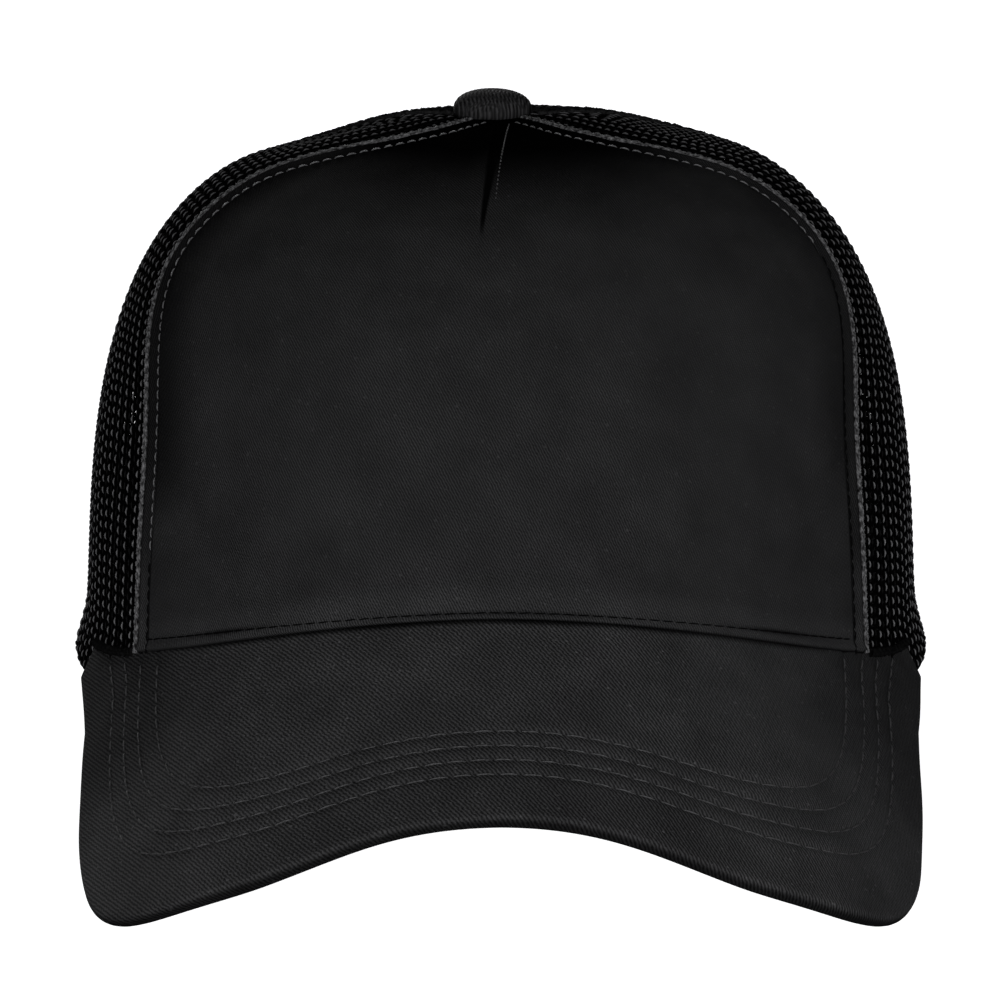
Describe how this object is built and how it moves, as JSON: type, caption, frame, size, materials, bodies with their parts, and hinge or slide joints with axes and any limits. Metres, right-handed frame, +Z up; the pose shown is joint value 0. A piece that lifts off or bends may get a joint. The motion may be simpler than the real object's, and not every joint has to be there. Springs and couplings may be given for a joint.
{
  "type": "trucker cap",
  "caption": "Adult trucker cap with a stiff twill front panel, open mesh side and rear panels, a curved visor, a covered top button and a snap strap across an arched rear opening.",
  "frame": {"origin": "centre of the head opening, in the plane of the crown's lower edge at the sides and back", "axes": "+Z up towards the button, -Y forward along the visor, +X towards the wearer's left"},
  "size_m": [0.1732, 0.2488, 0.1387],
  "materials": {
    "twill": "black cotton twill",
    "visor_twill": "black cotton twill",
    "mesh": "black knitted polyester mesh",
    "buckram": "stiffened open weave",
    "tape": "woven tape",
    "binding": "folded twill binding",
    "sweatband": "soft brushed cotton",
    "board": "moulded polyethylene board",
    "strap": "satin moulded plastic",
    "button_metal": "stamped"
  },
  "bodies": {
    "crown": {"front_panel": "twill", "front_buckram": "buckram", "side_mesh_left": "mesh", "side_mesh_right": "mesh", "rear_mesh_left": "mesh", "rear_mesh_right": "mesh", "front_seam_tape_left": "tape", "front_seam_tape_right": "tape", "side_seam_tape_left": "tape", "side_seam_tape_right": "tape", "back_seam_tape": "tape", "opening_binding": "binding", "strap_tab_left": "strap", "strap_tab_right": "strap", "sweatband": "sweatband", "visor_top_cover": "visor_twill", "visor_board": "board", "visor_bottom_cover": "visor_twill", "button_cover": "twill", "button_shell": "button_metal", "button_back": "button_metal"},
    "holed_strap": {"holed_strap": "strap"},
    "stud_strap": {"stud_strap": "strap"}
  },
  "joints": [
    {"name": "holed_strap_swing", "type": "hinge", "parent": "crown", "child": "holed_strap", "pos_m": [0.044, 0.08273, 0.0105], "axis": [0, 0, -1], "range_deg": [0, 80]},
    {"name": "stud_strap_swing", "type": "hinge", "parent": "crown", "child": "stud_strap", "pos_m": [-0.044, 0.08069, 0.0105], "axis": [0, 0, -1], "range_deg": [0, 80]}
  ]
}
